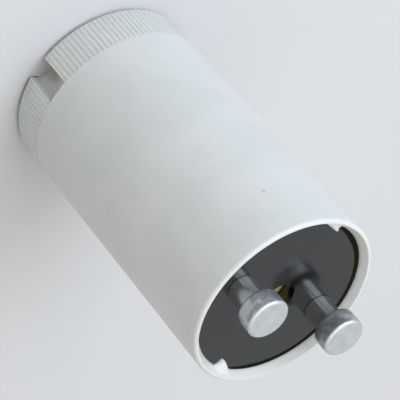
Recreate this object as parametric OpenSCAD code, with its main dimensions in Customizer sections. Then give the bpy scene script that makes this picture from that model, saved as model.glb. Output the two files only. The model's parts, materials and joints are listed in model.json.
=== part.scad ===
// Glow starter for a fluorescent lamp.
// A moulded can stands on its closed cap end at z = 0 with its axis on Z. A dark
// laminate disc closes the open end and carries two headed contact pins, which
// point up and stand in a row along X. Behind the disc hang the suppression
// capacitor and the glow switch, a small gas-filled bulb with a bimetal contact.
// All sizes are in millimetres and all angles in degrees.

/* [Can] */
// Gap between a pin's head, seen from the pin end, and the can's wall
head_to_wall = 0.85; // [0.6:0.05:1.2]
// Mould draft: how much smaller the radius is at the cap end
can_draft = 0.1; // [0:0.05:0.3]
// Wall beside the base disc
can_wall = 1.0; // [0.8:0.05:1.2]
// Width of the inner ledge that the base disc sits on
disc_ledge = 0.5; // [0.3:0.05:0.8]
// Thickness of the closed cap end
cap_floor = 1.3; // [1:0.1:2]
// Rounding of the cap end's outer edge
cap_edge_r = 1.0; // [0.6:0.1:1.4]
// Rounding of the rim's outer edge
rim_edge_r = 0.3; // [0.2:0.05:0.5]
// Flat ring left on top of the rim, between its rounded edge and its bevel
rim_flat = 0.05; // [0.05:0.05:0.2]
// Fillet inside, between the wall and the cap end's floor
floor_fillet_r = 1.0; // [0.5:0.1:2]

/* [Ribbed grip] */
// Height of the ribbed band above the end face
rib_band_h = 4.85; // [3:0.05:8]
// Rib pitches in the whole circle
rib_count = 120; // [80:4:140]
// Radius of the round groove between two ribs
groove_r = 0.17; // [0.1:0.01:0.2]
// Turn of the can against the row of pins, as it was assembled
can_turn = 1.3; // [-10:0.1:10]

/* [Grip notches] */
// Width of each notch
notch_w = 2.7; // [2:0.1:3.2]
// Depth of each notch below the can's surface
notch_depth = 2.3; // [1.6:0.1:2.8]
// Wall that follows the notch inside the can
notch_wall = 1.0; // [0.8:0.1:1.5]

/* [Base disc] */
// Thickness of the laminate
disc_t = 1.5; // [1:0.1:2]
// Depth of the disc's face below the rim
disc_recess = 0.85; // [0.7:0.05:1.4]
// Radial gap between the disc and the can
disc_gap = 0.05; // [0.02:0.01:0.15]
// Diameter of the vent hole in the middle
vent_d = 3.4; // [2:0.1:3.8]

/* [Staked tabs] */
// Width of a tab where it leaves the rim
tab_root_w = 2.2; // [1.6:0.1:3]
// Width of a tab at its tip
tab_tip_w = 0.6; // [0.4:0.1:1.2]
// Thickness of a tab at its tip
tab_tip_t = 0.45; // [0.3:0.05:0.6]
// Reach of the tab on the +Y side in over the disc
back_tab_reach = 1.0; // [0.5:0.05:1.3]
// Reach of the tab on the -Y side in over the disc
front_tab_reach = 0.65; // [0.5:0.05:1.3]
// Angle from the row of pins to each tab, where the punch struck
tab_angle = 85.4; // [75:0.1:105]

/* [Contact pins] */
// Distance between the two pins' axes
pin_pitch = 12.7; // [12.5:0.1:12.9]
// Height of the pins above the rim
pin_rise = 4.1; // [3.6:0.05:4.5]
// Diameter of the head
head_d = 4.6; // [4.4:0.1:5]
// Height of the head
head_h = 2.25; // [1.8:0.05:2.4]
// Rounding of the edge round the head's face
head_face_r = 0.3; // [0.1:0.05:0.4]
// Rounding of the edge under the head
head_back_r = 0.4; // [0.1:0.05:0.5]
// Diameter of the neck under the head
neck_d = 3.1; // [2.8:0.1:3.3]
// Diameter of the shank through the disc
shank_d = 2.3; // [1.8:0.1:2.5]
// Radial gap between the shank and its hole
shank_gap = 0.03; // [0.01:0.01:0.1]
// Diameter of the clenched tail
tail_d = 3.5; // [3.2:0.1:3.8]
// Thickness of the clenched tail
tail_t = 0.7; // [0.5:0.1:1]

/* [Wires] */
// Diameter of the capacitor's and the bulb's wires
wire_d = 0.5; // [0.4:0.05:0.6]
// Gap between a wire and the faces that trap it
wire_gap = 0.02; // [0.01:0.01:0.05]
// Share of the circle that a wire's loop takes round the shank, as an angle
loop_angle = 270; // [180:10:300]
// Gap between a wire's drop and the clenched tail beside it
drop_gap = 0.15; // [0.1:0.05:0.3]

/* [Capacitor] */
// Diameter of the wound and coated body
cap_body_d = 5.2; // [4.5:0.1:5.6]
// Gap between each end of the body and the wires' drops
cap_end_gap = 0.25; // [0.15:0.05:0.5]
// Rounding of the body's ends
cap_body_edge = 0.7; // [0.3:0.1:1]
// Gap between the body and the disc above it
cap_body_gap = 0.3; // [0.2:0.05:0.6]

/* [Glow bulb] */
// Outer diameter of the glass tube
glass_d = 8.4; // [7.6:0.1:9]
// Glass wall
glass_wall = 0.6; // [0.5:0.05:0.8]
// Gap between the tip-off and the cap end's floor
glass_lift = 1.2; // [0.8:0.1:2]
// Length of the tip-off below the domed end
tip_l = 0.9; // [0.5:0.1:1.2]
// Room for the wires between the pinch and the capacitor
bulb_gap = 3.1; // [2.4:0.1:4]
// Length of the glass from the domed end to the top of the pinch
glass_l = 21.8; // [20:0.1:23]
// Width of the pinch, along the row of pins
pinch_w = 5.2; // [4.6:0.1:5.6]
// Thickness of the pinch
pinch_t = 2.4; // [2:0.1:2.8]
// Height of the pinch above the glass's shoulder
pinch_h = 4.0; // [3:0.1:5]

/* [Glow switch] */
// Distance between the two wires in the pinch
electrode_pitch = 2.4; // [2.2:0.1:2.8]
// Diameter of the nickel post and of the fixed electrode
electrode_d = 0.7; // [0.6:0.05:0.8]
// Length of the post that carries the bimetal strip
post_l = 3.0; // [2.5:0.1:4]
// Length of the fixed electrode
fixed_l = 8.6; // [8:0.1:10]
// Width of the bimetal strip
strip_w = 2.2; // [1.6:0.1:2.6]
// Thickness of the bimetal strip
strip_t = 0.25; // [0.2:0.05:0.3]
// Open contact gap between the strip and the fixed electrode
contact_gap = 0.25; // [0.15:0.05:0.4]
// Overlap of the strip with its post, and of its free end with the electrode
strip_overlap = 1.8; // [1.2:0.1:2.2]

/* [Hidden] */
$fn = 96;

// Heights: the can is as long as what it holds
dome_z = cap_floor + glass_lift + tip_l;
pinch_top = dome_z + glass_l;
cap_body_z = pinch_top + bulb_gap + cap_body_d / 2;
disc_bottom = cap_body_z + cap_body_d / 2 + cap_body_gap;
disc_top = disc_bottom + disc_t;
can_length = disc_top + disc_recess;
head_top = can_length + pin_rise;

// Radii: the can fits round the heads of the pins
pin_x = pin_pitch / 2;
mouth_r = pin_x + head_d / 2 + head_to_wall;
rim_r = mouth_r + can_wall;
cap_r = rim_r - can_draft;
disc_r = mouth_r - disc_gap;
rim_top_r = rim_r - rim_edge_r - rim_flat;
cavity_top_r = mouth_r - disc_ledge;
draft_per_mm = can_draft / can_length;
cavity_floor_r = cavity_top_r - draft_per_mm * (disc_bottom - cap_floor);

// Notch section: a slot with a round bottom
notch_axis_r = cap_r - notch_depth + notch_w / 2;
rib_angle = 360 / rib_count;
notch_half_angle = asin((notch_w / 2 + groove_r) / cap_r);

// Pins and the wires trapped behind the disc
shank_r = shank_d / 2;
loop_r = shank_r + wire_gap + wire_d / 2;
bulb_loop_z = disc_bottom - wire_gap - wire_d / 2;
cap_loop_z = bulb_loop_z - wire_gap - wire_d;
tail_top = cap_loop_z - wire_gap - wire_d / 2;
drop_x = pin_x - tail_d / 2 - drop_gap - wire_d / 2;
cap_body_l = 2 * (drop_x - wire_d / 2 - cap_end_gap);
bend_swell = 1.02;

// Glow bulb, from its tip-off up
glass_r = glass_d / 2;
dome_centre_z = dome_z + glass_r;
shoulder_z = pinch_top - pinch_h;
shoulder_r = 1.8;
tip_r = 0.7;
bore_r = glass_r - glass_wall;
bore_top = shoulder_z - glass_wall;
bead_l = 0.5;
lead_x = electrode_pitch / 2;
weld_z = bore_top - bead_l;
turn_in_z = pinch_top + 1.8;

// Bimetal strip: a U whose outer leg lies on the post
post_end_z = weld_z - post_l;
fixed_end_z = weld_z - fixed_l;
strip_fixed_x = -lead_x - electrode_d / 2 - strip_t / 2;
strip_free_x = lead_x - electrode_d / 2 - contact_gap - strip_t / 2;
strip_bend_r = (strip_free_x - strip_fixed_x) / 2;
strip_fixed_top = post_end_z + strip_overlap;
strip_free_top = fixed_end_z + strip_overlap;
strip_bend_z = fixed_end_z - 1.5;

// Points of an arc in the half plane of a revolved profile.
function arc(centre, r, from, to, steps = 8) =
    [for (i = [0:steps]) let (a = from + (to - from) * i / steps)
        centre + r * [cos(a), sin(a)]];

// Keeps what is above a node's own turn on the can, for notches and grooves.
module on_can() {
    rotate([0, 0, can_turn]) children();
}

// Can

// Half section of the can's outside: flat end, rounded edge, drafted side,
// rounded rim.
module can_outside() {
    rotate_extrude()
        polygon(concat(
            [[0, 0]],
            arc([cap_r - cap_edge_r, cap_edge_r], cap_edge_r, -90, 0),
            arc([rim_r - rim_edge_r, can_length - rim_edge_r], rim_edge_r, 0, 90),
            [[0, can_length]]));
}

// Half section of the hollow: bevelled mouth, seat and ledge for the disc,
// drafted wall, fillet to the floor.
module can_hollow() {
    rotate_extrude()
        polygon(concat(
            [[0, cap_floor]],
            arc([cavity_floor_r - floor_fillet_r, cap_floor + floor_fillet_r],
                floor_fillet_r, -90, 0),
            [[cavity_top_r, disc_bottom], [mouth_r, disc_bottom],
             [mouth_r, disc_top], [rim_top_r, can_length],
             [rim_top_r, can_length + 1], [0, can_length + 1]]));
}

// One notch, cut in from the side and running up the whole ribbed band.
module notch() {
    translate([0, 0, -1])
        linear_extrude(rib_band_h + 1) {
            translate([notch_axis_r, 0]) circle(d = notch_w);
            translate([notch_axis_r, -notch_w / 2]) square([cap_r, notch_w]);
        }
}

// The wall that follows a notch inside the can.
module notch_housing() {
    translate([notch_axis_r, 0, 0])
        cylinder(d = notch_w + 2 * notch_wall, h = rib_band_h + notch_wall);
}

// Round grooves between the ribs. The two notches take their place.
module grooves() {
    translate([0, 0, -1])
        linear_extrude(rib_band_h + 1)
            for (i = [0:rib_count - 1])
                let (a = i * rib_angle, off = abs(((a + 90) % 180) - 90))
                    if (off > notch_half_angle)
                        rotate(a) translate([cap_r, 0]) circle(r = groove_r, $fn = 16);
}

// A tongue of the rim, pushed in and down on to the disc. Its plan narrows to
// the tip and its top slopes down from the rim's bevel.
module staked_tab(reach) {
    root_y = mouth_r + can_wall / 2;
    tip_y = mouth_r - reach;
    root_top = disc_top + 0.75 * disc_recess;
    tip_top = disc_top + tab_tip_t;
    intersection() {
        translate([0, 0, disc_top])
            linear_extrude(disc_recess)
                polygon([[-tab_root_w / 2, root_y], [tab_root_w / 2, root_y],
                         [tab_root_w / 2, mouth_r], [tab_tip_w / 2, tip_y],
                         [-tab_tip_w / 2, tip_y], [-tab_root_w / 2, mouth_r]]);
        translate([-tab_root_w, 0, 0])
            rotate([90, 0, 90])
                linear_extrude(2 * tab_root_w)
                    polygon([[tip_y - 1, disc_top - 1], [root_y + 1, disc_top - 1],
                             [root_y + 1, root_top], [root_y, root_top],
                             [tip_y, tip_top], [tip_y - 1, tip_top]]);
    }
}

module can() {
    color("#e4e8e6")
        difference() {
            union() {
                difference() {
                    can_outside();
                    can_hollow();
                }
                intersection() {
                    can_outside();
                    on_can() for (a = [0, 180]) rotate([0, 0, a]) notch_housing();
                }
                rotate([0, 0, tab_angle - 90]) staked_tab(back_tab_reach);
                rotate([0, 0, 270 - tab_angle]) staked_tab(front_tab_reach);
            }
            on_can() {
                for (a = [0, 180]) rotate([0, 0, a]) notch();
                grooves();
            }
        }
}

// Base disc

module base_disc() {
    color("#444143")
        translate([0, 0, disc_bottom])
            difference() {
                cylinder(r = disc_r, h = disc_t);
                translate([0, 0, -1]) cylinder(d = vent_d, h = disc_t + 2);
                for (x = [-pin_x, pin_x])
                    translate([x, 0, -1]) cylinder(r = shank_r + shank_gap, h = disc_t + 2);
            }
}

// Contact pins

// A headed rivet about its own axis: head with both edges rounded, neck that
// stands on the disc, shank, and a tail clenched under the trapped wires.
module contact_pin() {
    head_r = head_d / 2;
    neck_r = neck_d / 2;
    tail_r = tail_d / 2;
    head_bottom = head_top - head_h;
    color("#c9ccd1")
        rotate_extrude()
            polygon(concat(
                [[0, tail_top - tail_t],
                 [tail_r - tail_t * 0.6, tail_top - tail_t],
                 [tail_r, tail_top - tail_t * 0.4], [tail_r, tail_top],
                 [shank_r, tail_top], [shank_r, disc_top],
                 [neck_r, disc_top], [neck_r, head_bottom]],
                arc([head_r - head_back_r, head_bottom + head_back_r],
                    head_back_r, -90, 0, 6),
                arc([head_r - head_face_r, head_top - head_face_r],
                    head_face_r, 0, 90, 6),
                [[0, head_top]]));
}

module contact_pin_left() { translate([-pin_x, 0, 0]) contact_pin(); }
module contact_pin_right() { translate([pin_x, 0, 0]) contact_pin(); }

// Wires

// Straight piece of wire from p to q. The ball at its far end fills the bend,
// where a bent wire is a hair thicker.
module wire_piece(p, q) {
    v = q - p;
    translate(p)
        rotate([0, acos(v[2] / norm(v)), atan2(v[1], v[0])]) {
            cylinder(d = wire_d, h = norm(v), $fn = 24);
            translate([0, 0, norm(v)]) sphere(d = wire_d * bend_swell, $fn = 24);
        }
}

// Wire through a list of points, with square cut ends.
module wire(points) {
    n = len(points) - 1;
    for (i = [0:n - 2]) wire_piece(points[i], points[i + 1]);
    v = points[n] - points[n - 1];
    translate(points[n - 1])
        rotate([0, acos(v[2] / norm(v)), atan2(v[1], v[0])])
            cylinder(d = wire_d, h = norm(v), $fn = 24);
}

// Loop round the right pin's shank, which ends where the wire leaves it on the
// +Y side towards the middle.
module shank_loop(z) {
    translate([pin_x, 0, z])
        rotate([0, 0, 90 - loop_angle])
            rotate_extrude(angle = loop_angle)
                translate([loop_r, 0]) circle(d = wire_d, $fn = 24);
}

// The capacitor's wire on the right: loop, drop beside the body's end, and in
// to the middle of the end face.
module capacitor_lead() {
    color("#b9b4a8")
        mirror([0, 1, 0]) {
            shank_loop(cap_loop_z);
            wire([[pin_x, loop_r, cap_loop_z], [drop_x, loop_r, cap_loop_z],
                  [drop_x, loop_r, cap_body_z + wire_d], [drop_x, 0, cap_body_z],
                  [cap_body_l / 2, 0, cap_body_z]]);
        }
}

// The bulb's wire on the right: loop, drop past the capacitor, in to the pinch
// and down through it to the weld.
module bulb_lead() {
    color("#b98a62") {
        shank_loop(bulb_loop_z);
        wire([[pin_x, loop_r, bulb_loop_z], [drop_x, loop_r, bulb_loop_z],
              [drop_x, loop_r, turn_in_z], [lead_x, 0, pinch_top + wire_d],
              [lead_x, 0, weld_z]]);
    }
}

module capacitor_lead_left() { mirror([1, 0, 0]) capacitor_lead(); }
module capacitor_lead_right() { capacitor_lead(); }
module bulb_lead_left() { mirror([1, 0, 0]) bulb_lead(); }
module bulb_lead_right() { bulb_lead(); }

// Capacitor

// Wound body lying along the row of pins, with rounded ends.
module capacitor() {
    r = cap_body_d / 2;
    h = cap_body_l / 2;
    e = cap_body_edge;
    color("#c9a545")
        translate([0, 0, cap_body_z])
            rotate([0, 90, 0])
                rotate_extrude()
                    polygon(concat([[0, -h]], arc([r - e, e - h], e, -90, 0),
                                   arc([r - e, h - e], e, 0, 90), [[0, h]]));
}

// Glow bulb

module glow_bulb_glass() {
    color("#bcd3d6", 0.4)
        difference() {
            union() {
                rotate_extrude()
                    polygon(concat(
                        [[0, dome_z - tip_l]],
                        arc([0, dome_z - tip_l + tip_r], tip_r, -90, 0, 4),
                        [[tip_r, dome_z]],
                        arc([0, dome_centre_z], glass_r, -80, 0, 12),
                        arc([glass_r - shoulder_r, shoulder_z - shoulder_r],
                            shoulder_r, 0, 90),
                        [[0, shoulder_z]]));
                translate([-pinch_w / 2, -pinch_t / 2, shoulder_z - shoulder_r])
                    cube([pinch_w, pinch_t, pinch_h + shoulder_r]);
            }
            rotate_extrude()
                polygon(concat(
                    arc([0, dome_centre_z], bore_r, -90, 0, 12),
                    arc([glass_r - shoulder_r, shoulder_z - shoulder_r],
                        shoulder_r - glass_wall, 0, 90),
                    [[0, bore_top]]));
            for (x = [-lead_x, lead_x])
                translate([x, 0, bore_top - 1])
                    cylinder(d = wire_d + 2 * wire_gap, h = pinch_top - bore_top + 2, $fn = 24);
        }
}

// Glow switch

module bimetal_post() {
    color("#a9a9ad")
        translate([-lead_x, 0, post_end_z]) cylinder(d = electrode_d, h = post_l, $fn = 24);
}

module fixed_electrode() {
    color("#a9a9ad")
        translate([lead_x, 0, fixed_end_z]) cylinder(d = electrode_d, h = fixed_l, $fn = 24);
}

module bimetal_strip() {
    mid_x = (strip_fixed_x + strip_free_x) / 2;
    color("#b8a27c")
        translate([0, strip_w / 2, 0])
            rotate([90, 0, 0])
                linear_extrude(strip_w) {
                    translate([strip_fixed_x - strip_t / 2, strip_bend_z])
                        square([strip_t, strip_fixed_top - strip_bend_z]);
                    translate([strip_free_x - strip_t / 2, strip_bend_z])
                        square([strip_t, strip_free_top - strip_bend_z]);
                    translate([mid_x, strip_bend_z])
                        difference() {
                            circle(r = strip_bend_r + strip_t / 2);
                            circle(r = strip_bend_r - strip_t / 2);
                            translate([-glass_d, 0]) square([2 * glass_d, glass_d]);
                        }
                }
}

can();
base_disc();
contact_pin_left();
contact_pin_right();
capacitor();
capacitor_lead_left();
capacitor_lead_right();
glow_bulb_glass();
bulb_lead_left();
bulb_lead_right();
bimetal_post();
bimetal_strip();
fixed_electrode();
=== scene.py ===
# %% [markdown]
# A glow starter for a fluorescent lamp: a white moulded can with a ribbed cap
# end, closed by a dark laminate disc with two headed aluminium pins. The packed
# CAD model comes first and fixes every size. Everything below is measured in
# metres in the same frame: the can stands on its cap end at z = 0, the pins
# point up and their row lies along X.

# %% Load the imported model
import json
import math

import bmesh
import bpy
import numpy as np
from mathutils import Matrix, Vector

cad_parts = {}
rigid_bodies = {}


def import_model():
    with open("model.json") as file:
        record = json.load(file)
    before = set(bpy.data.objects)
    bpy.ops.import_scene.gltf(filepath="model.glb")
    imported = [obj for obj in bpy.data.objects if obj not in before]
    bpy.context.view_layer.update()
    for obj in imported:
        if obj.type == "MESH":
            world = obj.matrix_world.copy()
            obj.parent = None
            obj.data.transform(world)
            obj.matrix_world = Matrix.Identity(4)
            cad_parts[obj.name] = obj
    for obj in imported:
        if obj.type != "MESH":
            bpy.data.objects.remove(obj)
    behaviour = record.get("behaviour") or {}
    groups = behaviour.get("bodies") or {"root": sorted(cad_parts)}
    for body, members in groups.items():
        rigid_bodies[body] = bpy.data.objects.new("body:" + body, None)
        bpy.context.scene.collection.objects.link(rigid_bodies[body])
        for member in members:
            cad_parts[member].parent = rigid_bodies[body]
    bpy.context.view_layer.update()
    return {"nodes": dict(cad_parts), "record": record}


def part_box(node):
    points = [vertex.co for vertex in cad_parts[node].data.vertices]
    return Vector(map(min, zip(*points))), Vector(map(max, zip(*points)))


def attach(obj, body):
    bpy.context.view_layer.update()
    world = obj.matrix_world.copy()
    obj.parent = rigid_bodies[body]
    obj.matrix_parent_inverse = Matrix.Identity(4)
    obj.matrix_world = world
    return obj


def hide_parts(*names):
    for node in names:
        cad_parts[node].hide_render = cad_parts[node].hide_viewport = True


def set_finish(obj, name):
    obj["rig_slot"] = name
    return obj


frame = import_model()
print("CAD nodes:", ", ".join(sorted(frame["nodes"])))

# %% [markdown]
# The camera is placed where the photograph was taken from. Its place, its turn
# and its lens were worked out from the outline of the can and the two pin
# heads, whose real sizes are known. The picture was taken with a long lens, so
# the can's sides are nearly parallel, and the camera was rolled: the can's axis
# runs down to the right in the frame.

# %% Camera
CAMERA_PLACE = (0.186609, -0.069928, 0.160753)
CAMERA_RIGHT = (-0.615436, -0.583337, 0.530054)
CAMERA_DOWN = (-0.187138, 0.761412, 0.620670)
CAMERA_AHEAD = (-0.765649, 0.282789, -0.577764)
FOCAL_PIXELS = 2376.74   # focal length in pixels of the 400 pixel wide picture
OPTICAL_CENTRE = (203.674, 193.193)   # where the lens axis meets the picture
PICTURE = 400

scene = bpy.context.scene
lens = bpy.data.cameras.new("camera")
lens.sensor_width = 36
lens.lens = FOCAL_PIXELS / PICTURE * lens.sensor_width
lens.shift_x = 0.5 - OPTICAL_CENTRE[0] / PICTURE
lens.shift_y = OPTICAL_CENTRE[1] / PICTURE - 0.5
lens.clip_start, lens.clip_end = 0.01, 10
camera = bpy.data.objects.new("camera", lens)
scene.collection.objects.link(camera)
columns = np.array([CAMERA_RIGHT, -np.array(CAMERA_DOWN), -np.array(CAMERA_AHEAD)]).T
camera.matrix_world = Matrix.Translation(CAMERA_PLACE) @ Matrix(columns.tolist()).to_4x4()
scene.camera = camera
scene.view_settings.view_transform = "Standard"
print("lens", round(lens.lens, 1), "mm, shift", round(lens.shift_x, 4), round(lens.shift_y, 4))

# %% [markdown]
# The sizes used again and again are named once, in millimetres, as on a
# drawing. They repeat the CAD model's values, and each finished piece is
# checked against the box of the CAD node it stands for.

# %% Sizes in millimetres
MM = 0.001
# the can: radii at rim and cap, height, roundings, and where its bevelled mouth starts
RIM_R, CAP_R, LENGTH = 10.5, 10.4, 36.15
CAP_EDGE, RIM_EDGE, RIM_TOP_R = 1.0, 0.4, 10.05
# the disc's seat, the ledge under it, the can's floor; the ribbed band and its turn in degrees
MOUTH_R, LEDGE_R, FLOOR_Z = 9.5, 9.0, 1.3
BAND_H, RIBS, GROOVE_R, CAN_TURN = 4.85, 120, 0.17, 1.3
NOTCH_W, NOTCH_DEPTH, NOTCH_WALL = 2.7, 2.3, 1.0
DISC_TOP, DISC_T = LENGTH - 0.85, 1.5
# a pin: its place, head, neck and face, the head's roundings and a ring on its face
PIN_X, HEAD_R, HEAD_H, NECK_R, PIN_TOP = 6.35, 2.3, 2.25, 1.55, LENGTH + 4.1
FACE_EDGE, BACK_EDGE, FACE_RING = 0.3, 0.4, 0.8
NECK_FILLET, NECK_CHAMFER, NECK_DIP = 0.12, 0.05, 0.01
# behind the disc: the shank, and the clenched tail TAIL_DROP away from the disc
SHANK_R, TAIL_R, TAIL_H, TAIL_DROP = 1.15, 1.75, 0.7, 1.06
TAIL_EDGE, TAIL_FLAT, TAIL_BREAK = 0.42, 1.0, 0.02


def report(piece, node=None):
    """Prints a piece's faces and size, and how far it departs from a CAD node's box."""
    xyz = np.empty(len(piece.data.vertices) * 3, np.float32)
    piece.data.vertices.foreach_get("co", xyz)
    xyz = xyz.reshape(-1, 3)
    low, high = xyz.min(0), xyz.max(0)
    line = f"{piece.name}: {len(piece.data.polygons)} faces, "
    line += f"{np.round((high - low) * 1000, 2)} mm"
    if node:
        a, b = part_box(node)
        off = max(np.abs(low - np.array(a)).max(), np.abs(high - np.array(b)).max())
        line += f", within {off * 1000:.3f} mm of {node}"
    print(line)


# %% [markdown]
# Every surface here is a grid of points: one row for each step along a profile,
# one column for each step round. numpy works the whole grid out at once, and
# `foreach_set` hands it to the mesh without a Python loop.

# %% Mesh from a grid of points
def grid_mesh(name, grid):
    """Mesh from points grid[row, column, xyz] in mm.

    Columns close on themselves. Face (i, j) joins the points (i, j), (i, j+1),
    (i+1, j+1), (i+1, j). A skin is closed when its first and last rows are each
    gathered to a point or a line, which finish_mesh merges.
    """
    rows, cols = grid.shape[:2]
    index = np.arange(rows * cols).reshape(rows, cols)
    right = np.roll(index, -1, axis=1)
    quads = np.stack([index[:-1], right[:-1], right[1:], index[1:]], axis=-1).reshape(-1, 4)
    corners = quads.reshape(-1)
    starts = np.arange(len(quads)) * 4
    mesh = bpy.data.meshes.new(name)
    mesh.vertices.add(rows * cols)
    mesh.vertices.foreach_set("co", (grid.reshape(-1) * MM).astype(np.float32))
    mesh.loops.add(len(corners))
    mesh.loops.foreach_set("vertex_index", corners.astype(np.int32))
    mesh.polygons.add(len(quads))
    mesh.polygons.foreach_set("loop_start", starts.astype(np.int32))
    mesh.update(calc_edges=True)
    mesh.validate()
    return mesh


def finish_mesh(mesh, crease=40):
    """Merges doubled points at poles and seams, smooths, and keeps creases over an angle."""
    work = bmesh.new()
    work.from_mesh(mesh)
    bmesh.ops.remove_doubles(work, verts=work.verts, dist=2e-6)
    bmesh.ops.recalc_face_normals(work, faces=work.faces)
    work.to_mesh(mesh)
    work.free()
    mesh.polygons.foreach_set("use_smooth", np.ones(len(mesh.polygons), bool))
    mesh.set_sharp_from_angle(angle=math.radians(crease))
    return mesh


def add_piece(mesh, slot, *nodes):
    """Object at the origin that rides with the starter and stands for the CAD nodes named."""
    piece = bpy.data.objects.new(mesh.name, mesh)
    scene.collection.objects.link(piece)
    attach(piece, "root")
    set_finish(piece, slot)
    if nodes:
        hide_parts(*nodes)
    report(piece, nodes[0] if nodes else None)
    return piece


# %% [markdown]
# The can. A real one is moulded in one shot: a drafted barrel, fine ribs round
# the closed end so that fingers can turn it, and two notches in the ribs. It
# could be a cylinder with a bump map, but the ribs catch light along their
# edges, so they are real grooves. The trick is to draw the section once, as a
# curve with every groove and both notches, and to reuse its points at every
# height: clipped by the rounded edge lower down, and pulled out to a plain
# circle above the band.

# %% Section of the ribbed band
GROOVE_STEPS = np.array([-1, -0.92, -0.7, -0.35, 0, 0.35, 0.7, 0.92, 1])   # shares of its radius
MOUTH_SOFT = 0.07   # mm over which a notch's mouth corner is rounded


def notch_curve():
    """Half-open curve of a notch, from one mouth corner to the other, in mm.

    A slot of width w whose round bottom has the radius w/2 about a point at
    distance R - depth + w/2 from the axis. Each mouth corner is a quadratic
    blend: (1-t)^2 P0 + 2t(1-t) P1 + t^2 P2.
    """
    half = NOTCH_W / 2
    axis = CAP_R - NOTCH_DEPTH + half
    corner = np.array([math.sqrt(CAP_R ** 2 - half ** 2), half])
    angle = math.atan2(half + MOUTH_SOFT, corner[0])
    on_circle = CAP_R * np.array([math.cos(angle), math.sin(angle)])
    on_wall = corner - [MOUTH_SOFT, 0]
    t = np.linspace(0, 1, 6)[:, None]
    mouth = (1 - t) ** 2 * on_circle + 2 * t * (1 - t) * corner + t ** 2 * on_wall
    wall = np.linspace(on_wall, [axis, half], 6)[1:-1]
    a = np.linspace(np.pi / 2, 3 * np.pi / 2, 25)
    bottom = np.stack([axis + half * np.cos(a), half * np.sin(a)], axis=1)
    upper = np.vstack([mouth, wall])
    lower = upper[::-1] * [1, -1]
    return np.vstack([upper, bottom, lower])[::-1]


def band_section():
    """Points (angle, radius, plain angle) of the whole band section, going round once.

    Each groove is an arc of radius g about a point on the circle, so its depth
    at the offset s is sqrt(g^2 - s^2). The plain angle is where the point goes
    on the plain barrel above the band: its own angle on ribs and grooves, and
    evenly spread over the mouth on a notch.
    """
    pitch = 2 * np.pi / RIBS
    s = GROOVE_STEPS * GROOVE_R
    depth = np.sqrt(np.maximum(GROOVE_R ** 2 - s ** 2, 0))
    groove = np.stack([s / CAP_R, CAP_R - depth], axis=1)
    land = np.array([[pitch / 2, CAP_R]])
    curve = notch_curve()
    mouth = math.atan2(abs(curve[0, 1]), curve[0, 0])
    notch = np.stack([np.arctan2(curve[:, 1], curve[:, 0]), np.hypot(curve[:, 0], curve[:, 1]),
                      np.linspace(-mouth, mouth, len(curve))], axis=1)
    skipped = math.ceil(mouth / pitch)
    rows = []
    for side in (0, np.pi):
        rows.append(notch + [side, 0, side])
        last = RIBS // 2 - skipped
        for k in range(skipped, last + 1):
            for part in (groove, land)[:1 if k == last else 2]:
                angle = part[:, 0] + k * pitch + side
                rows.append(np.stack([angle, part[:, 1], angle], axis=1))
    section = np.vstack(rows)
    section[:, [0, 2]] += math.radians(CAN_TURN)
    return section


section = band_section()
print("band section:", len(section), "points")

# %% Profile helpers
def arc(cx, cz, r, start, end, steps):
    """Points (radius, height) of an arc: centre + r (cos a, sin a), a in degrees."""
    a = np.radians(np.linspace(start, end, steps))
    return np.stack([cx + r * np.cos(a), cz + r * np.sin(a)], axis=1)


def barrel_r(z):
    """Drafted outside radius at a height: straight from the cap's to the rim's."""
    return CAP_R + (RIM_R - CAP_R) * np.asarray(z) / LENGTH


print("outside radius at the band's top:", round(float(barrel_r(BAND_H)), 3), "mm")

# %% Skin of the can
FLAT_R, FLOOR_EDGE = 6.0, 1.0                  # a ring on the cap's face, rounding inside
BAND_ROWS = (2.2, 3.5, BAND_H - 0.03)          # heights of rows on the ribs
BARREL_ROWS = (BAND_H, BAND_H + 0.05, 6, 10, 15, 20, 25, 30, 34)   # and above them
NO_BOSS = 99.0                                 # beyond every radius of the can


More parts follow.
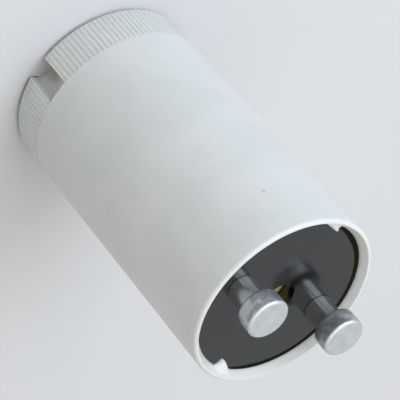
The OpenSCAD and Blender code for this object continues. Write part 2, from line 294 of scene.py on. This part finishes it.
def can_grid():
    """Closed skin of the can, as rows of the section at rising heights and back down inside.

    Below the shoulder a point lies at min(section radius, profile radius), so
    the grooves run out on the rounded edge. Above it every point lies on the
    profile's circle. Inside, the wall swells round each notch: the polar form
    of a circle of radius b about a point at distance a is
    a cos t - sqrt(b^2 - a^2 sin^2 t). Away from the notches nothing limits the
    wall, which the radius NO_BOSS stands for.
    """
    angle, radius, plain = section.T
    rows = []

    def add(r, z, theta):
        r = np.broadcast_to(r, theta.shape)
        rows.append(np.stack([r * np.cos(theta), r * np.sin(theta), np.full_like(r, z)], axis=1))

    edge = arc(CAP_R - CAP_EDGE, CAP_EDGE, CAP_EDGE, -90, 0, 11)
    add(0.0, 0.0, plain)
    add(FLAT_R, 0.0, plain)
    for r, z in edge:
        add(np.minimum(radius, r), z, angle)
    for z in BAND_ROWS:
        add(radius + barrel_r(z) - CAP_R, z, angle)
    add(np.where(radius < CAP_R - 1e-6, radius, barrel_r(BAND_H)), BAND_H, angle)
    for z in BARREL_ROWS:
        add(barrel_r(z), z, plain)
    for r, z in arc(RIM_R - RIM_EDGE, LENGTH - RIM_EDGE, RIM_EDGE, 0, 90, 10):
        add(r, z, plain)
    for t in np.linspace(0, 1, 5):
        add(RIM_TOP_R + (MOUTH_R - RIM_TOP_R) * t, LENGTH + (DISC_TOP - LENGTH) * t, plain)
    disc_bottom = DISC_TOP - DISC_T
    boss_top = BAND_H + NOTCH_WALL
    for r, z in ((MOUTH_R, disc_bottom), (LEDGE_R, disc_bottom)):
        add(r, z, plain)
    a = CAP_R - NOTCH_DEPTH + NOTCH_W / 2
    b = NOTCH_W / 2 + NOTCH_WALL
    off_notch = (plain - math.radians(CAN_TURN) + np.pi / 2) % np.pi - np.pi / 2
    under = b ** 2 - (a * np.sin(off_notch)) ** 2
    swell = a * np.cos(off_notch) - np.sqrt(np.maximum(under, 0))
    boss = np.where(under > 0, swell, NO_BOSS)
    inner_r = LEDGE_R - (RIM_R - CAP_R) * (disc_bottom - boss_top) / LENGTH
    add(inner_r, boss_top, plain)
    add(np.minimum(inner_r, boss), boss_top, plain)
    for r, z in arc(inner_r - FLOOR_EDGE, FLOOR_Z + FLOOR_EDGE, FLOOR_EDGE, 0, -90, 7):
        add(np.minimum(r, boss), z, plain)
    add(0.0, FLOOR_Z, plain)
    return np.stack(rows)


add_piece(finish_mesh(grid_mesh("can_shell", can_grid()), 50), "can_plastic", "can")

# %% [markdown]
# The staked tabs. After the disc is dropped in, a blunt punch pushes two
# tongues of the rim down on to it. Each is a short ramp: wide at the rim,
# narrow and thin at its tip, with a crisp edge where the punch stopped. It is
# lofted from the root to the tip, one cross-section a row.

# %% Staked tabs
TAB_ANGLE = 85.4   # degrees from the row of pins to each tab
TAB_ROOT = 0.5     # how deep the root lies in the wall, in mm
TIP_HALF = 0.3     # half width of the tip, in mm
TAB_H, TAB_FALL = 0.64, 0.22   # height at the root, and its loss to the tip, in mm
CLOSING = 0.12     # share of the length over which the tip closes
TAB_POWER = 1.1    # of the superellipse


def tab_grid(side, reach, root, shift, lean):
    """Ramp of rows from root to tip; side is +1 or -1 along Y, the rest is in mm.

    With t from 0 at the root to 1 at the tip, u counts from the wall's surface
    on. A row's half width is root - (root - TIP_HALF) u^0.7, and its height
    above the disc TAB_H - TAB_FALL t. The punch came in askew, so the middle
    moves sideways as shift + lean u^1.2. The section is a superellipse,
    x = w |cos a|^p and z = h |sin a|^p with p = TAB_POWER, over half a turn,
    and flat underneath. The last rows close as a quarter round, sqrt(1 - t^2).
    """
    open_part = 1 - CLOSING
    ease = np.sin(np.linspace(0, 1, 9)[1:] * np.pi / 2)
    t = np.concatenate([np.linspace(0, open_part, 14), open_part + CLOSING * ease])
    close = np.sqrt(np.maximum(1 - (np.maximum(t - open_part, 0) / CLOSING) ** 2, 0))
    wall = TAB_ROOT / (reach + TAB_ROOT)
    u = np.clip((t - wall) / (1 - wall), 0, 1)
    half = (root - (root - TIP_HALF) * u ** 0.7) * (0.4 + 0.6 * close) * (close > 0)
    tall = (TAB_H - TAB_FALL * t) * close
    y = MOUTH_R + TAB_ROOT - (reach + TAB_ROOT) * t
    a = np.linspace(0, np.pi, 25)
    x = np.sign(np.cos(a)) * np.abs(np.cos(a)) ** TAB_POWER
    z = np.abs(np.sin(a)) ** TAB_POWER
    across = half[:, None] * x + shift + lean * u[:, None] ** 1.2
    out = np.broadcast_to(y[:, None], across.shape)
    turn = math.radians(TAB_ANGLE - 90) * side
    c, s = side * math.cos(turn), side * math.sin(turn)
    height = DISC_TOP + tall[:, None] * z
    return np.stack([across * c - out * s, across * s + out * c, height], axis=-1)


def closed_loft(name, grid):
    """Loft whose first row is gathered to its own middle, so the root is closed."""
    root = np.broadcast_to(grid[0].mean(0), grid[0].shape)[None]
    return finish_mesh(grid_mesh(name, np.concatenate([root, grid])), 35)


TABS = {"back": dict(side=1, reach=1.0, root=1.6, shift=-0.3, lean=0.8),
        "front": dict(side=-1, reach=0.65, root=1.4, shift=-0.05, lean=1.0)}
for word, sizes in TABS.items():
    add_piece(closed_loft(f"staked_tab_{word}", tab_grid(**sizes)), "can_plastic")

# %% [markdown]
# The contact pins are cold-headed aluminium rivets. A turned profile is enough
# for their shape, with every edge a little soft, because a header leaves no
# sharp corner. The profile starts and ends on the axis, so the skin is closed.

# %% Contact pins
def turned(name, profile, at, steps=96):
    """Revolves (radius, height) points about the vertical through x = at."""
    a = np.linspace(0, 2 * np.pi, steps, endpoint=False)
    r, z = np.asarray(profile).T
    grid = np.stack([at + r[:, None] * np.cos(a), r[:, None] * np.sin(a),
                     np.broadcast_to(z[:, None], (len(r), steps))], axis=-1)
    return finish_mesh(grid_mesh(name, grid), 40)


def pin_profile():
    """Half section of a pin, from the clenched tail up to the head's face."""
    disc_bottom = DISC_TOP - DISC_T
    tail_top = disc_bottom - TAIL_DROP
    tail_bottom = tail_top - TAIL_H
    bottom = PIN_TOP - HEAD_H
    return np.vstack([
        [[0, tail_bottom], [TAIL_FLAT, tail_bottom]],
        arc(TAIL_R - TAIL_EDGE, tail_bottom + TAIL_EDGE, TAIL_EDGE, -70, 0, 7),
        [[TAIL_R, tail_top - TAIL_BREAK], [TAIL_R - TAIL_BREAK, tail_top]],
        [[SHANK_R, tail_top], [SHANK_R, DISC_TOP - NECK_DIP]],
        [[NECK_R - NECK_CHAMFER, DISC_TOP], [NECK_R, DISC_TOP + NECK_CHAMFER]],
        [[NECK_R, bottom - NECK_FILLET]],
        arc(NECK_R + NECK_FILLET, bottom - NECK_FILLET, NECK_FILLET, 180, 90, 5),
        arc(HEAD_R - BACK_EDGE, bottom + BACK_EDGE, BACK_EDGE, -90, 0, 8),
        arc(HEAD_R - FACE_EDGE, PIN_TOP - FACE_EDGE, FACE_EDGE, 0, 90, 10),
        [[HEAD_R - FACE_RING, PIN_TOP], [0, PIN_TOP]]])


for x, word in ((-PIN_X, "left"), (PIN_X, "right")):
    add_piece(turned(f"pin_{word}", pin_profile(), x), "pin_aluminium", f"contact_pin_{word}")

# %% [markdown]
# Finishes. Two effects are shared by several materials, so each is a node
# group with named inputs: a fine grain that moulding, rolling or drawing
# leaves, and the small marks of handling. Both read positions on the object, so
# they stay put when the starter is seen from another side.

# %% Node helpers
def new_group(name, inputs, outputs):
    """Empty shader group with float inputs {name: default} and the outputs named."""
    group = bpy.data.node_groups.new(name, "ShaderNodeTree")
    group.interface.new_socket("Vector", in_out="INPUT", socket_type="NodeSocketVector")
    for key, value in inputs.items():
        socket = group.interface.new_socket(key, in_out="INPUT", socket_type="NodeSocketFloat")
        socket.default_value = value
    for key in outputs:
        group.interface.new_socket(key, in_out="OUTPUT", socket_type="NodeSocketFloat")
    return group, group.nodes.new("NodeGroupInput"), group.nodes.new("NodeGroupOutput")


def math_node(tree, kind, a, b=None, clamp=False):
    """Math node whose inputs are sockets or numbers; returns its output."""
    node = tree.nodes.new("ShaderNodeMath")
    node.operation, node.use_clamp = kind, clamp
    for socket, value in zip(node.inputs, (a, b)):
        if value is None:
            continue
        if isinstance(value, (int, float)):
            socket.default_value = value
        else:
            tree.links.new(value, socket)
    return node.outputs[0]


def map_range(tree, value, a, b, c=0.0, d=1.0):
    """Smooth ramp from c at a to d at b."""
    node = tree.nodes.new("ShaderNodeMapRange")
    node.interpolation_type = "SMOOTHSTEP"
    tree.links.new(value, node.inputs["Value"])
    for key, number in zip(("From Min", "From Max", "To Min", "To Max"), (a, b, c, d)):
        node.inputs[key].default_value = number
    return node.outputs["Result"]


def noise(tree, vector, scale, detail=3.0, rough=0.55):
    """Noise texture at a scale in features per metre; returns its value."""
    node = tree.nodes.new("ShaderNodeTexNoise")
    tree.links.new(vector, node.inputs["Vector"])
    if isinstance(scale, (int, float)):
        node.inputs["Scale"].default_value = scale
    else:
        tree.links.new(scale, node.inputs["Scale"])
    node.inputs["Detail"].default_value = detail
    node.inputs["Roughness"].default_value = rough
    return node.outputs["Fac"]


# %% Shared effect: grain
def build_grain():
    """Grain: a fine noise for bump and a broad one for tone, both about 0.5."""
    group, into, out = new_group("surface grain", {"Fine": 9000.0, "Broad": 160.0},
                                 ("Height", "Tone"))
    fine = noise(group, into.outputs["Vector"], into.outputs["Fine"], 2.0)
    broad = noise(group, into.outputs["Vector"], into.outputs["Broad"], 4.0, 0.6)
    group.links.new(fine, out.inputs["Height"])
    group.links.new(broad, out.inputs["Tone"])
    return group


GRAIN = build_grain()

# %% Shared effect: handling marks
def build_marks():
    """Marks: sparse specks from the nearest-cell distance, and hairline scratches.

    A speck shows where the distance to its cell's point is below Size and the
    cell's random value is above 1 - Density. Scratches are where a stretched
    noise comes close to 0.5.
    """
    group, into, out = new_group("handling marks",
                                 {"Cells": 420.0, "Size": 0.12, "Density": 0.12},
                                 ("Specks", "Scratches"))
    cells = group.nodes.new("ShaderNodeTexVoronoi")
    group.links.new(into.outputs["Vector"], cells.inputs["Vector"])
    group.links.new(into.outputs["Cells"], cells.inputs["Scale"])
    near = math_node(group, "LESS_THAN", cells.outputs["Distance"], into.outputs["Size"])
    split = group.nodes.new("ShaderNodeSeparateColor")
    group.links.new(cells.outputs["Color"], split.inputs["Color"])
    chosen = math_node(group, "LESS_THAN", split.outputs["Red"], into.outputs["Density"])
    group.links.new(math_node(group, "MULTIPLY", near, chosen), out.inputs["Specks"])
    stretch = group.nodes.new("ShaderNodeMapping")
    stretch.inputs["Rotation"].default_value = (0.5, 0.3, 0.9)
    stretch.inputs["Scale"].default_value = (1.0, 0.06, 1.0)
    group.links.new(into.outputs["Vector"], stretch.inputs["Vector"])
    lines = noise(group, stretch.outputs["Vector"], 2600.0, 1.0)
    apart = math_node(group, "ABSOLUTE", math_node(group, "SUBTRACT", lines, 0.5))
    group.links.new(map_range(group, apart, 0.0, 0.012, 1.0, 0.0), out.inputs["Scratches"])
    return group


MARKS = build_marks()

# %% Material helper
def new_material(name):
    """Material with its Principled shader, its tree and the object's coordinates."""
    material = bpy.data.materials.new(name)
    material.use_nodes = True
    tree = material.node_tree
    shader = tree.nodes["Principled BSDF"]
    place = tree.nodes.new("ShaderNodeTexCoord").outputs["Object"]
    return material, tree, shader, place


def use_group(tree, group, vector, **values):
    """Group node fed with a vector and numbers; returns its outputs."""
    node = tree.nodes.new("ShaderNodeGroup")
    node.node_tree = group
    tree.links.new(vector, node.inputs["Vector"])
    for key, value in values.items():
        node.inputs[key].default_value = value
    return node.outputs


def mix_colour(tree, factor, a, b):
    """Mix of two colours or sockets by a factor socket; returns the colour."""
    node = tree.nodes.new("ShaderNodeMix")
    node.data_type = "RGBA"
    tree.links.new(factor, node.inputs["Factor"])
    for socket, value in ((node.inputs["A"], a), (node.inputs["B"], b)):
        if isinstance(value, tuple):
            socket.default_value = (*value, 1)
        else:
            tree.links.new(value, socket)
    return node.outputs["Result"]


def bump(tree, shader, height, distance, strength=1.0):
    """Bump node of a height socket, in metres at full height, into the shader's normal."""
    node = tree.nodes.new("ShaderNodeBump")
    node.inputs["Distance"].default_value = distance
    node.inputs["Strength"].default_value = strength
    tree.links.new(height, node.inputs["Height"])
    tree.links.new(node.outputs["Normal"], shader.inputs["Normal"])


# %% [markdown]
# The can's plastic is a white polycarbonate: satin, a little translucent, with the faint
# unevenness of moulding. A few dark specks lie on it, and a brownish painted shade darkens the
# corner of one notch, as the photograph shows.

# %% Can plastic
NOTCH_SHADE_AT = (0.0082, -0.0002, 0.0012)   # where the painted shade in the notch's corner is darkest, in metres
NOTCH_SHADE_FADE = (0.0002, 0.0015)       # metres from there at which it fades and is gone
SPECK = (0.16, 0.13, 0.10)


def can_plastic():
    """White satin plastic; the tone drifts by a few hundredths, specks are dark brown, and a
    brownish painted shade darkens the corner of one notch.
    """
    material, tree, shader, place = new_material("can plastic")
    grain = use_group(tree, GRAIN, place, Fine=14000.0, Broad=110.0)
    marks = use_group(tree, MARKS, place, Cells=330.0, Size=0.05, Density=0.35)
    tone = map_range(tree, grain["Tone"], 0.3, 0.7)
    white = mix_colour(tree, tone, (0.70, 0.725, 0.715), (0.76, 0.775, 0.77))
    faint = math_node(tree, "MULTIPLY", marks["Specks"], 0.45)
    specked = mix_colour(tree, faint, white, SPECK)
    away = tree.nodes.new("ShaderNodeVectorMath")
    away.operation = "DISTANCE"
    tree.links.new(place, away.inputs[0])
    away.inputs[1].default_value = NOTCH_SHADE_AT
    # painted shade: a brownish darkening in the corner of one notch, fading with the distance
    # from a point in that corner
    notch_shade = map_range(tree, away.outputs["Value"], *NOTCH_SHADE_FADE, 0.6, 0.0)
    notch_shaded = mix_colour(tree, notch_shade, specked, (0.40, 0.31, 0.24))
    tree.links.new(notch_shaded, shader.inputs["Base Color"])
    rough = map_range(tree, grain["Tone"], 0.3, 0.7, 0.36, 0.46)
    tree.links.new(rough, shader.inputs["Roughness"])
    shader.inputs["Subsurface Weight"].default_value = 0.25
    shader.inputs["Subsurface Radius"].default_value = (1.0, 0.95, 0.85)
    shader.inputs["Subsurface Scale"].default_value = 0.0012
    shader.inputs["IOR"].default_value = 1.5
    bump(tree, shader, grain["Height"], 0.000006)
    return material


CAN_PLASTIC = can_plastic()

# %% [markdown]
# The disc is punched from dark laminate, so it is very flat and a little glossy: the pins are
# mirrored in it, blurred. Along one side of its edge the photograph shows a dull brownish band,
# drawn here as a crescent of painted shade. Tan specks lie in the sheet.

# %% Disc laminate
# the crescent is painted shade along the disc's edge
SHADE_CRESCENT_X = (-0.004, 0.002)    # metres: up to where the band is widest, from where it is gone
SHADE_CRESCENT_R = (0.0088, 0.0094)   # its inner radius at those two places


def disc_laminate():
    """Near-black sheet under a glossy skin; on the -X side a dull brownish crescent of painted
    shade along the edge has no skin.

    The radius sqrt(x^2 + y^2) is compared with the crescent's inner radius,
    which grows with x until it lies outside the disc that shows.
    """
    material, tree, shader, place = new_material("disc laminate")
    split = tree.nodes.new("ShaderNodeSeparateXYZ")
    tree.links.new(place, split.inputs["Vector"])
    x, y = split.outputs["X"], split.outputs["Y"]
    square = math_node(tree, "ADD", math_node(tree, "MULTIPLY", x, x),
                       math_node(tree, "MULTIPLY", y, y))
    radius = math_node(tree, "SQRT", square)
    grain = use_group(tree, GRAIN, place, Fine=5200.0, Broad=420.0)
    marks = use_group(tree, MARKS, place, Cells=620.0, Size=0.10, Density=0.06)
    tone = map_range(tree, grain["Tone"], 0.3, 0.7)
    dark = mix_colour(tree, tone, (0.004, 0.0035, 0.004), (0.0065, 0.006, 0.0065))
    # painted shade: a dull brownish crescent along the -X edge, where the glossy coat is left
    # off
    inner = map_range(tree, x, *SHADE_CRESCENT_X, *SHADE_CRESCENT_R)
    rim = map_range(tree, math_node(tree, "SUBTRACT", radius, inner), 0.0, 0.00015)
    shade_banded = mix_colour(tree, rim, dark, (0.015, 0.013, 0.0085))
    faint = math_node(tree, "MULTIPLY", marks["Specks"], 0.6)
    specked = mix_colour(tree, faint, shade_banded, SPECK)
    tree.links.new(specked, shader.inputs["Base Color"])
    tree.links.new(math_node(tree, "SUBTRACT", 1.0, rim), shader.inputs["Coat Weight"])
    shader.inputs["Coat Roughness"].default_value = 0.13
    shader.inputs["Coat IOR"].default_value = 1.64
    shader.inputs["Roughness"].default_value = 0.6
    shader.inputs["Specular IOR Level"].default_value = 0.0
    bump(tree, shader, grain["Height"], 0.000003)
    return material


DISC_LAMINATE = disc_laminate()

# %% [markdown]
# The pins are plain aluminium. Their faces are matt from the header's die, the heads' sides are
# scuffed where holders have gripped them, and the necks are drawn smooth. The rounded edge round
# each face is a lighter grey, a painted highlight. One material tells the zones apart by height.

# %% Pin aluminium
# heights in mm between which each zone's finish fades in, going up the pin
HEAD_ZONE = (PIN_TOP - HEAD_H - 0.05, PIN_TOP - HEAD_H + 0.05)
# the rounded edge round the face, which is painted lighter as a highlight
HIGHLIGHT_EDGE_ZONE = (PIN_TOP - FACE_EDGE - 0.02, PIN_TOP - FACE_EDGE + 0.08)
FACE_ZONE = (PIN_TOP - 0.10, PIN_TOP - 0.01)


def pin_aluminium():
    """Metal whose finish follows the height: matt pale face with a painted highlight on its
    rounded edge, scuffed side, smooth dark neck.

    Part of its weight is a plain grey, which stands for the skin of oxide that
    keeps old aluminium from mirroring what is round it.
    """
    material, tree, shader, place = new_material("pin aluminium")
    split = tree.nodes.new("ShaderNodeSeparateXYZ")
    tree.links.new(place, split.inputs["Vector"])
    height = split.outputs["Z"]
    face, edge, head = (map_range(tree, height, start * MM, end * MM)
                        for start, end in (FACE_ZONE, HIGHLIGHT_EDGE_ZONE, HEAD_ZONE))
    grain = use_group(tree, GRAIN, place, Fine=7000.0, Broad=900.0)
    marks = use_group(tree, MARKS, place, Cells=1400.0, Size=0.22, Density=0.22)
    tone = map_range(tree, grain["Tone"], 0.35, 0.65)
    neck = mix_colour(tree, tone, (0.54, 0.58, 0.56), (0.64, 0.68, 0.66))
    patches = map_range(tree, grain["Tone"], 0.42, 0.60)
    side = mix_colour(tree, patches, (0.26, 0.28, 0.30), (0.48, 0.50, 0.525))
    lines = math_node(tree, "MULTIPLY", marks["Scratches"], 0.5)
    scuffed = mix_colour(tree, lines, side, (0.66, 0.66, 0.66))
    below = mix_colour(tree, head, neck, scuffed)
    top = mix_colour(tree, tone, (0.48, 0.50, 0.50), (0.54, 0.56, 0.56))
    # painted highlight: the rounded edge of each head is a lighter grey than its face and side
    edge_highlight = mix_colour(tree, edge, below, (0.64, 0.66, 0.68))
    tree.links.new(mix_colour(tree, face, edge_highlight, top), shader.inputs["Base Color"])
    matt = map_range(tree, face, 0.0, 1.0, 0.38, 0.55)
    share = map_range(tree, head, 0.0, 1.0, 0.5, 1.0)
    tree.links.new(math_node(tree, "MULTIPLY", share, matt), shader.inputs["Roughness"])
    tree.links.new(map_range(tree, head, 0.0, 1.0, 0.9, 0.8), shader.inputs["Metallic"])
    bump(tree, shader, grain["Height"], 0.00001)
    return material


PIN_ALUMINIUM = pin_aluminium()

# %% [markdown]
# Inside, only the yellow coat of the capacitor shows, through the vent hole.
# The rest still gets its own finish, because the library shows every piece:
# tinned and copper-clad wires, clear glass, nickel and bimetal.

# %% Inner finishes
def plain_finish(name, low, high, rough, metallic=0.0, fine=6000.0, depth=0.000004):
    """Two tones of one colour over the broad grain, with a fine bump."""
    material, tree, shader, place = new_material(name)
    grain = use_group(tree, GRAIN, place, Fine=fine, Broad=700.0)
    tone = map_range(tree, grain["Tone"], 0.3, 0.7)
    tree.links.new(mix_colour(tree, tone, low, high), shader.inputs["Base Color"])
    roughness = map_range(tree, grain["Tone"], 0.3, 0.7, rough, rough + 0.1)
    tree.links.new(roughness, shader.inputs["Roughness"])
    shader.inputs["Metallic"].default_value = metallic
    bump(tree, shader, grain["Height"], depth)
    return material, shader


INNER_LOOKS = {
    "capacitor_coat": ("capacitor coat", (0.60, 0.48, 0.18), (0.74, 0.62, 0.28), 0.3),
    "tinned_wire": ("tinned wire", (0.52, 0.51, 0.49), (0.68, 0.67, 0.64), 0.28, 1.0),
    "coated_wire": ("copper-clad wire", (0.50, 0.27, 0.15), (0.66, 0.40, 0.25), 0.3, 1.0),
    "nickel": ("nickel", (0.46, 0.46, 0.47), (0.60, 0.60, 0.61), 0.25, 1.0),
    "bimetal": ("bimetal", (0.42, 0.38, 0.30), (0.56, 0.51, 0.42), 0.3, 1.0),
}
INNER = {slot: plain_finish(*look)[0] for slot, look in INNER_LOOKS.items()}
glass, glass_shader = plain_finish("bulb glass", (0.93, 0.97, 0.97), (0.97, 0.99, 0.99), 0.02,
                                   fine=3000.0, depth=0.000002)
glass_shader.inputs["Transmission Weight"].default_value = 1.0
glass_shader.inputs["IOR"].default_value = 1.5
INNER["bulb_glass"] = glass

# %% Materials on pieces
SLOTS = {"can_plastic": CAN_PLASTIC, "disc_laminate": DISC_LAMINATE,
         "pin_aluminium": PIN_ALUMINIUM, **INNER}
slot_of = {row["node"]: row["material_slot"] for row in frame["record"]["subparts"]}


def dress(piece, material):
    """Puts one material on a whole piece."""
    piece.data.materials.clear()
    piece.data.materials.append(material)


for name, node in frame["nodes"].items():
    dress(node, SLOTS[slot_of[name]])
for piece in bpy.data.objects:
    if piece.type == "MESH" and "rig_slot" in piece:
        dress(piece, SLOTS[piece["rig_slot"]])
print("dressed", len(frame["nodes"]), "CAD nodes")

# %% [markdown]
# The starter stands on a plain pale floor. The photograph's light is one broad,
# cool lamp to the side of the can and another overhead. A faint warm sky fills
# the side away from the lamp, so the can shades from near white to a warm
# grey, and a small lamp adds the glint on the edges of the heads.

# %% Floor
FLOOR_REACH = 3.0   # metres from the middle to each side
FLOOR_GREY = (0.66, 0.66, 0.68, 1)
floor_corners = [(sx * FLOOR_REACH, sy * FLOOR_REACH, 0)
                 for sx, sy in ((-1, -1), (1, -1), (1, 1), (-1, 1))]
floor_mesh = bpy.data.meshes.new("floor")
floor_mesh.from_pydata(floor_corners, [], [(0, 1, 2, 3)])
floor = bpy.data.objects.new("floor", floor_mesh)
scene.collection.objects.link(floor)
floor_material = bpy.data.materials.new("floor")
floor_material.use_nodes = True
floor_shader = floor_material.node_tree.nodes["Principled BSDF"]
floor_shader.inputs["Base Color"].default_value = FLOOR_GREY
floor_shader.inputs["Roughness"].default_value = 0.9
floor_mesh.materials.append(floor_material)
print("floor:", 2 * FLOOR_REACH, "m wide")

# %% Lights
AIM = [0, 0, 0.02]   # about the can's middle


def soft_light(name, azimuth, elevation, distance, size, power, colour=(1, 1, 1)):
    """Square lamp aimed at the can's middle; angles in degrees, lengths in metres, watts."""
    data = bpy.data.lights.new(name, "AREA")
    data.size, data.energy, data.color = size, power, colour
    lamp = bpy.data.objects.new(name, data)
    a, e = math.radians(azimuth), math.radians(elevation)
    away = np.array([math.cos(e) * math.cos(a), math.cos(e) * math.sin(a), math.sin(e)])
    lamp.location = away * distance + AIM
    scene.collection.objects.link(lamp)
    lamp.rotation_mode = "QUATERNION"
    lamp.rotation_quaternion = Vector(away.tolist()).to_track_quat("Z", "Y")
    return lamp


soft_light("key", azimuth=-88, elevation=38, distance=0.8, size=0.7, power=4.5,
           colour=(0.74, 0.82, 1.0))
soft_light("glint", azimuth=-46, elevation=36, distance=0.8, size=0.12, power=0.35)
soft_light("top", azimuth=0, elevation=90, distance=0.9, size=1.2, power=7.0,
           colour=(0.92, 0.95, 1.0))
print("lamps:", ", ".join(lamp.name for lamp in bpy.data.lights))

# %% [markdown]
# The sky has two colours. The warm, dim one lights the starter. The paler one
# is what the camera, the metal's reflections and rays through the glass see,
# so the pins stay light without washing out the can's shaded side.

# %% World
SKY_LIGHT = (0.28, 0.27, 0.19)
SKY_SEEN = (0.64, 0.66, 0.67)

world = bpy.data.worlds.new("studio")
scene.world = world
world.use_nodes = True
sky = world.node_tree
background = sky.nodes["Background"]
path = sky.nodes.new("ShaderNodeLightPath")
seen = path.outputs["Is Camera Ray"]
for kind in ("Is Glossy Ray", "Is Transmission Ray"):
    seen = math_node(sky, "ADD", seen, path.outputs[kind], clamp=True)
sky.links.new(mix_colour(sky, seen, SKY_LIGHT, SKY_SEEN), background.inputs["Color"])
print("sky:", SKY_LIGHT, "for light,", SKY_SEEN, "when seen")
